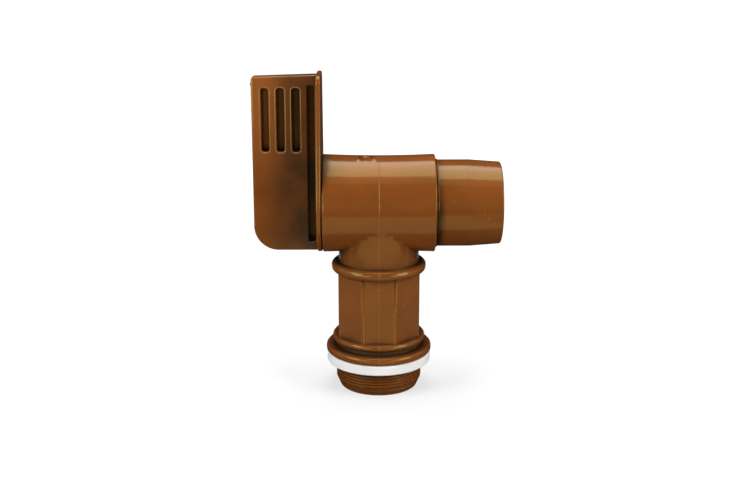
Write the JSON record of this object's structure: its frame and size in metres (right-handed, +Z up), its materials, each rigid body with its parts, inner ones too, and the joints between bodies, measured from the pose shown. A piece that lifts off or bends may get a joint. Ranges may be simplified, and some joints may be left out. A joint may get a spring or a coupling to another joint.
{
  "type": "drum spout",
  "caption": "Plastic drum tap with a rotary plug: a threaded neck that screws into a drum's bung, a cross barrel, a quarter-turn paddle handle and an outlet spout.",
  "frame": {"origin": "centre of the threaded end's face, on the neck's axis; the tap stands on it", "axes": "+Z up the neck to the barrel, +X along the barrel towards the outlet, -X towards the handle, the handle's paddle in the XZ plane"},
  "size_m": [0.1709, 0.0742, 0.2218],
  "materials": {
    "body_plastic": "brown moulded polyethylene, glossy",
    "rotor_plastic": "brown moulded polyethylene, glossy",
    "seal_rubber": "black rubber, smooth",
    "gasket_white": "white soft gasket, matt"
  },
  "bodies": {
    "housing": {"body": "body_plastic", "bung_gasket": "gasket_white"},
    "plug": {"rotor": "rotor_plastic", "o_ring_handle_end": "seal_rubber", "o_ring_outlet_end": "seal_rubber", "port_seal": "seal_rubber"}
  },
  "joints": [
    {"name": "handle_turn", "type": "hinge", "parent": "housing", "child": "plug", "pos_m": [0, 0, 0.1319], "axis": [1, 0, 0], "range_deg": [0, 90]}
  ]
}
